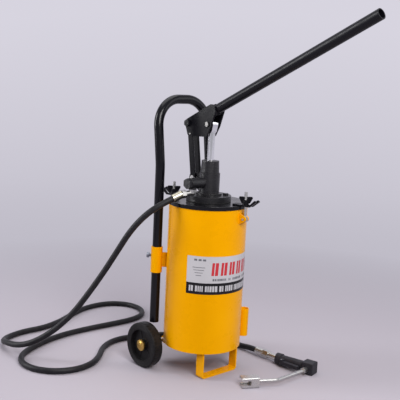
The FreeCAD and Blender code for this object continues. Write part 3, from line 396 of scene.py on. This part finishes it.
def paintFrame():
    for name, node in nodes.items():
        node.data.materials.clear()
        node.data.materials.append(ownLook.get(name, looks[slotOf[name]]))
    hose.data.materials.append(looks["hose_rubber"])
    print("materials:", len(looks))


# softened corners on the hard pieces, without touching their meshes
edgeSet = {"weld": 1e-5, "width": 0.5 * mm, "segments": 2, "angle": 35}
plainNodes = ["hose", "label", "check_spring", "foot_valve_ball", "check_ball"]


def softenEdges():
    for name, node in nodes.items():
        mesh = node.data
        mesh.polygons.foreach_set("use_smooth", [True] * len(mesh.polygons))
        if "custom_normal" in mesh.attributes:
            mesh.attributes.remove(mesh.attributes["custom_normal"])
        weld = node.modifiers.new("weld", "WELD")
        weld.merge_threshold = edgeSet["weld"]
        if name not in plainNodes:
            bevel = node.modifiers.new("bevel", "BEVEL")
            bevel.width = edgeSet["width"]
            bevel.segments = edgeSet["segments"]
            bevel.limit_method = "ANGLE"
            bevel.angle_limit = math.radians(edgeSet["angle"])
        node.modifiers.new("normals", "WEIGHTED_NORMAL")
    print("edges softened")


paintFrame()
softenEdges()


def addPiece(name, mesh, material, body="base"):
    data = bpy.data.meshes.new(name)
    mesh.to_mesh(data)
    mesh.free()
    data.materials.append(material)
    piece = bpy.data.objects.new(name, data)
    bpy.context.scene.collection.objects.link(piece)
    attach(piece, body)


def joinRings(mesh, low, high):
    sides = len(low)
    for step in range(sides):
        after = (step + 1) % sides
        face = mesh.faces.new((low[step], low[after], high[after], high[step]))
        face.smooth = True


# the label's print: plain bars only, in shares of the label's width and height
printSet = {
    "radius": 104.05, "halfAngle": 70.0, "low": 231.0, "height": 99.0, "step": 2.0, "end": 0.97,
    "band": (0.0, 0.30), "barLift": 0.05, "seed": 7,
    "bandRow": {"at": (0.03, 0.95), "tall": (0.075, 0.225), "wide": (0.012, 0.026),
                "gap": 0.007, "wordGap": 0.022, "wordShare": 0.14},
    "smallRow": {"at": (0.27, 0.93), "tall": (0.36, 0.42), "wide": (0.008, 0.02),
                 "gap": 0.006, "wordGap": 0.03, "wordShare": 0.25},
    "reds": {"count": 7, "start": 0.255, "pitch": 0.098, "tall": (0.50, 0.84), "slant": 0.02,
             "strokes": ((0.0, 0.026), (0.036, 0.068))},
    "top": {"count": 3, "start": 0.075, "pitch": 0.045, "wide": 0.03, "tall": (0.88, 0.93)},
    "emblem": {"count": 4, "across": (0.06, 0.19), "taper": 0.012, "tall": (0.70, 0.715), "drop": 0.07},
}


def bendPatch(mesh, left, right, low, high, lift=0.0, slant=0.0):
    radius = printSet["radius"] + lift
    spread = 2 * printSet["halfAngle"]
    count = max(1, math.ceil((right - left) * spread / printSet["step"]))
    rows = []
    for height in (low, high):
        row = []
        for step in range(count + 1):
            share = left + (right - left) * step / count + slant * (height - low)
            angle = math.radians(-printSet["halfAngle"] + spread * share)
            place = fromDrum(radius * math.sin(angle), -radius * math.cos(angle),
                             printSet["low"] + printSet["height"] * height)
            row.append(mesh.verts.new(place))
        rows.append(row)
    for step in range(count):
        mesh.faces.new((rows[0][step], rows[0][step + 1], rows[1][step + 1], rows[1][step]))


def barRow(mesh, dice, row, lift=0.0):
    # uneven bars, with a wider gap now and then as between words
    at, end = row["at"]
    while at < end:
        wide = dice.uniform(*row["wide"])
        bendPatch(mesh, at, min(at + wide, printSet["end"]), *row["tall"], lift)
        at += wide + (row["wordGap"] if dice.random() < row["wordShare"] else row["gap"])


def makePrint():
    black = enamel("print_black", {**blackLook, "shine": 0.3, "peelDepth": 0.00002})
    red = enamel("print_red", {
        **printLook, "colour": (0.60, 0.035, 0.045), "shade": (0.50, 0.03, 0.04)})
    grey = enamel("print_grey", {
        **printLook, "colour": (0.16, 0.16, 0.18), "shade": (0.12, 0.12, 0.14)})
    dice = random.Random(printSet["seed"])
    band = bmesh.new()
    bendPatch(band, 0.0, 1.0, *printSet["band"])
    addPiece("label_band", band, black)
    bars = bmesh.new()
    barRow(bars, dice, printSet["bandRow"], printSet["barLift"])
    addPiece("label_band_bars", bars, looks["label_film"])
    reds = bmesh.new()
    row = printSet["reds"]
    for place in range(row["count"]):
        start = row["start"] + row["pitch"] * place
        for left, right in row["strokes"]:
            bendPatch(reds, start + left, start + right, *row["tall"], slant=row["slant"])
    addPiece("label_red_bars", reds, red)
    lines = bmesh.new()
    barRow(lines, dice, printSet["smallRow"])
    row = printSet["top"]
    for place in range(row["count"]):
        start = row["start"] + row["pitch"] * place
        bendPatch(lines, start, start + row["wide"], *row["tall"])
    row = printSet["emblem"]
    left, right = row["across"]
    low, high = row["tall"]
    for place in range(row["count"]):
        inset, drop = row["taper"] * place, row["drop"] * place
        bendPatch(lines, left + inset, right - inset, low - drop, high - drop)
    addPiece("label_small_bars", lines, grey)
    print("label print made")


makePrint()


# weld beads, as rows of small overlapping ripples; places are mm about the drum's axis
weldSet = {
    "radius": 1.6 * mm, "pitch": 1.6 * mm, "ripple": 0.22, "wobble": (0.9, 1.1), "endShare": 0.5,
    "sides": 8, "drumRadius": 103.5, "bracketAt": (88, 98), "bracketOff": 3.2,
    "holderTurn": 62, "holderOff": 4.5, "holderSpan": (92, 152),
}


def weldBead(name, path):
    # path: the corners of the line that the bead follows
    sides = weldSet["sides"]
    mesh = bmesh.new()
    dice = random.Random(len(path) + len(name))
    places = []
    for start, end in zip(path, path[1:]):
        count = max(2, round((end - start).length / weldSet["pitch"]))
        places += [start.lerp(end, step / count) for step in range(count)]
    places.append(path[-1])
    rings = []
    for at, place in enumerate(places):
        along = (places[min(at + 1, len(places) - 1)] - places[max(at - 1, 0)]).normalized()
        side = along.orthogonal().normalized()
        other = along.cross(side)
        swell = weldSet["radius"] * (1 + weldSet["ripple"] * (1 if at % 2 else -1))
        swell *= dice.uniform(*weldSet["wobble"])
        swell *= weldSet["endShare"] if at in (0, len(places) - 1) else 1
        rings.append([mesh.verts.new(place + (side * math.cos(turn) + other * math.sin(turn)) * swell)
                      for turn in (2 * math.pi * step / sides for step in range(sides))])
    for low, high in zip(rings, rings[1:]):
        joinRings(mesh, low, high)
    mesh.faces.new(rings[0][::-1])
    mesh.faces.new(rings[-1])
    addPiece(name, mesh, looks["yellow_paint"])


def makeWelds():
    drum = weldSet["drumRadius"]
    low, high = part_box("sleeve_brackets")
    lowZ, highZ = low[2] / mm, high[2] / mm
    for side, name in ((-1, "left"), (1, "right")):
        turn = math.atan2(*weldSet["bracketAt"])
        for edge, label in ((-1, "front"), (1, "rear")):
            angle = turn - edge * weldSet["bracketOff"] / drum
            x, y = side * drum * math.sin(angle), drum * math.cos(angle)
            weldBead(f"bracket_weld_{name}_{label}", [fromDrum(x, y, lowZ), fromDrum(x, y, highZ)])
    tube = math.radians(weldSet["holderTurn"])
    lowZ, highZ = weldSet["holderSpan"]
    for edge in (-1, 1):
        angle = tube + edge * weldSet["holderOff"] / drum
        x, y = drum * math.sin(angle), -drum * math.cos(angle)
        weldBead(f"holder_weld_{edge + 2}", [fromDrum(x, y, lowZ), fromDrum(x, y, highZ)])
    print("welds made")


makeWelds()

# round-headed screw on the lever's near cheek, with a dimple; places are mm about the drum's axis
screwSet = {
    "place": (-17.6, 66.0, 628.5), "radius": 2.8, "height": 1.9, "dimple": 0.5, "rings": 6, "sides": 24,
}


def makeCheekScrew():
    mesh = bmesh.new()
    x, y, z = screwSet["place"]
    sides = screwSet["sides"]
    rings = []
    for step in range(screwSet["rings"]):
        angle = math.pi / 2 * step / screwSet["rings"]
        reach = screwSet["radius"] * math.cos(angle)
        out = x - screwSet["height"] * math.sin(angle)
        rings.append([mesh.verts.new(fromDrum(out, y + reach * math.cos(turn), z + reach * math.sin(turn)))
                      for turn in (2 * math.pi * side / sides for side in range(sides))])
    tip = mesh.verts.new(fromDrum(x - screwSet["height"] + screwSet["dimple"], y, z))
    for low, high in zip(rings, rings[1:]):
        joinRings(mesh, low, high)
    for side in range(sides):
        mesh.faces.new((rings[-1][side], rings[-1][(side + 1) % sides], tip))
    mesh.faces.new(rings[0][::-1])
    addPiece("cheek_screw", mesh, looks["zinc_plate"], "lever")
    print("cheek screw made")


makeCheekScrew()

# floor, backdrop and soft lamps
studioSet = {
    "floorColour": (0.428, 0.396, 0.444), "bounceColour": (0.17, 0.155, 0.175),
    "halfWidth": 6.0, "front": -5.0, "back": 3.2, "bend": 1.6,
    "height": 6.0, "worldColour": (0.80, 0.80, 0.86), "worldStrength": 0.5,
    # lowTone and highTone: painted light of the backdrop's glow, lighter higher up and farther off
    "lowTone": (0.505, 0.487, 0.555), "highTone": (0.68, 0.66, 0.74), "toneSpan": (1.2, 7.0),
    "fadeSpan": (0.75, 1.7), "riseWeight": 1.5, "turnDegrees": -43.6, "bendSteps": 16,
    "roughness": 0.75, "specular": 0.25, "grainScale": 3.0, "grainDepth": 0.002,
    "lampAim": (0, 0.1, 0.4),
}
lampSet = {
    "key": {"place": (-0.72, -1.78, 1.75), "size": (1.1, 1.1), "watts": 47, "colour": (1.0, 0.985, 0.97)},
    "side": {"place": (-2.4, 2.2, 1.5), "size": (0.9, 2.0), "watts": 62, "colour": (0.98, 0.98, 1.0)},
    "fill": {"place": (2.2, -2.0, 1.7), "size": (1.4, 2.0), "watts": 12, "colour": (0.96, 0.97, 1.0)},
    "top": {"place": (0.2, 0.6, 3.2), "size": (2.6, 2.6), "watts": 42, "colour": (1, 1, 1)},
}


def makeStudio():
    mesh = bmesh.new()
    profile = [(studioSet["front"], 0.0)]
    bend = studioSet["bend"]
    for step in range(studioSet["bendSteps"] + 1):
        angle = math.pi / 2 * step / studioSet["bendSteps"]
        profile.append((studioSet["back"] + bend * math.sin(angle), bend - bend * math.cos(angle)))
    profile.append((studioSet["back"] + bend, studioSet["height"]))
    # the sweep stands square to the camera
    turn = Matrix.Rotation(math.radians(studioSet["turnDegrees"]), 3, "Z")
    rows = []
    for y, z in profile:
        rows.append([mesh.verts.new(turn @ Vector((x, y, z)))
                     for x in (-studioSet["halfWidth"], studioSet["halfWidth"])])
    for low, high in zip(rows, rows[1:]):
        face = mesh.faces.new((low[0], low[1], high[1], high[0]))
        face.smooth = True
    data = bpy.data.meshes.new("studio_sweep")
    mesh.to_mesh(data)
    mesh.free()
    sweep = bpy.data.objects.new("studio_sweep", data)
    bpy.context.scene.collection.objects.link(sweep)
    material, tree, shader = startMaterial("sweep_paper")
    shader.inputs["Roughness"].default_value = studioSet["roughness"]
    shader.inputs["Specular IOR Level"].default_value = studioSet["specular"]
    addBump(tree, shader, addNoise(tree, studioSet["grainScale"]), studioSet["grainDepth"], strength=0.1)
    # soft light that bounces off the paper finds it darker than the eye does
    light = tree.nodes.new("ShaderNodeLightPath")
    paper = mixColours(tree, light.outputs["Is Diffuse Ray"], studioSet["floorColour"],
                       studioSet["bounceColour"])
    tree.links.new(paper, shader.inputs["Base Color"])
    # away from the object the paper glows with painted light, a pale tone that grows lighter with height
    # and distance, to the eye and in reflections only
    seen = addNode(tree, "ShaderNodeMath", operation="ADD")
    tree.links.new(light.outputs["Is Camera Ray"], seen.inputs[0])
    tree.links.new(light.outputs["Is Glossy Ray"], seen.inputs[1])
    through = addNode(tree, "ShaderNodeMath", operation="ADD", use_clamp=True)
    tree.links.new(seen.outputs["Value"], through.inputs[0])
    tree.links.new(light.outputs["Is Transmission Ray"], through.inputs[1])
    place = tree.nodes.new("ShaderNodeTexCoord")
    split = tree.nodes.new("ShaderNodeSeparateXYZ")
    tree.links.new(place.outputs["Object"], split.inputs["Vector"])
    away = addNode(tree, "ShaderNodeVectorMath", operation="LENGTH")
    tree.links.new(place.outputs["Object"], away.inputs[0])
    far = addNode(tree, "ShaderNodeMath", operation="MULTIPLY_ADD")
    far.inputs[1].default_value = studioSet["riseWeight"]
    tree.links.new(split.outputs["Z"], far.inputs[0])
    tree.links.new(away.outputs["Value"], far.inputs[2])
    fade = addRange(tree, far.outputs["Value"], 0.0, 1.0, *studioSet["fadeSpan"])
    rise = addRange(tree, far.outputs["Value"], 0.0, 1.0, *studioSet["toneSpan"])
    tone = mixColours(tree, rise, studioSet["lowTone"], studioSet["highTone"])
    share = addNode(tree, "ShaderNodeMath", operation="MULTIPLY")
    tree.links.new(fade, share.inputs[0])
    tree.links.new(through.outputs["Value"], share.inputs[1])
    glow = tree.nodes.new("ShaderNodeEmission")
    tree.links.new(tone, glow.inputs["Color"])
    blend = tree.nodes.new("ShaderNodeMixShader")
    tree.links.new(share.outputs["Value"], blend.inputs[0])
    tree.links.new(shader.outputs["BSDF"], blend.inputs[1])
    tree.links.new(glow.outputs["Emission"], blend.inputs[2])
    tree.links.new(blend.outputs["Shader"], tree.nodes["Material Output"].inputs["Surface"])
    data.materials.append(material)


def makeLamps():
    for name, lamp in lampSet.items():
        light = bpy.data.lights.new(name + "_lamp", "AREA")
        light.shape = "RECTANGLE"
        light.size, light.size_y = lamp["size"]
        light.energy = lamp["watts"]
        light.color = lamp["colour"]
        holder = bpy.data.objects.new(name + "_lamp", light)
        bpy.context.scene.collection.objects.link(holder)
        place = Vector(lamp["place"])
        aim = (Vector(studioSet["lampAim"]) - place).to_track_quat("-Z", "Y").to_matrix().to_4x4()
        holder.matrix_world = Matrix.Translation(place) @ aim
    world = bpy.data.worlds.new("studio_air")
    bpy.context.scene.world = world
    world.use_nodes = True
    air = world.node_tree.nodes["Background"]
    air.inputs["Color"].default_value = (*studioSet["worldColour"], 1)
    air.inputs["Strength"].default_value = studioSet["worldStrength"]


makeStudio()
makeLamps()
bpy.context.scene.view_settings.view_transform = "Standard"
print("studio lit")
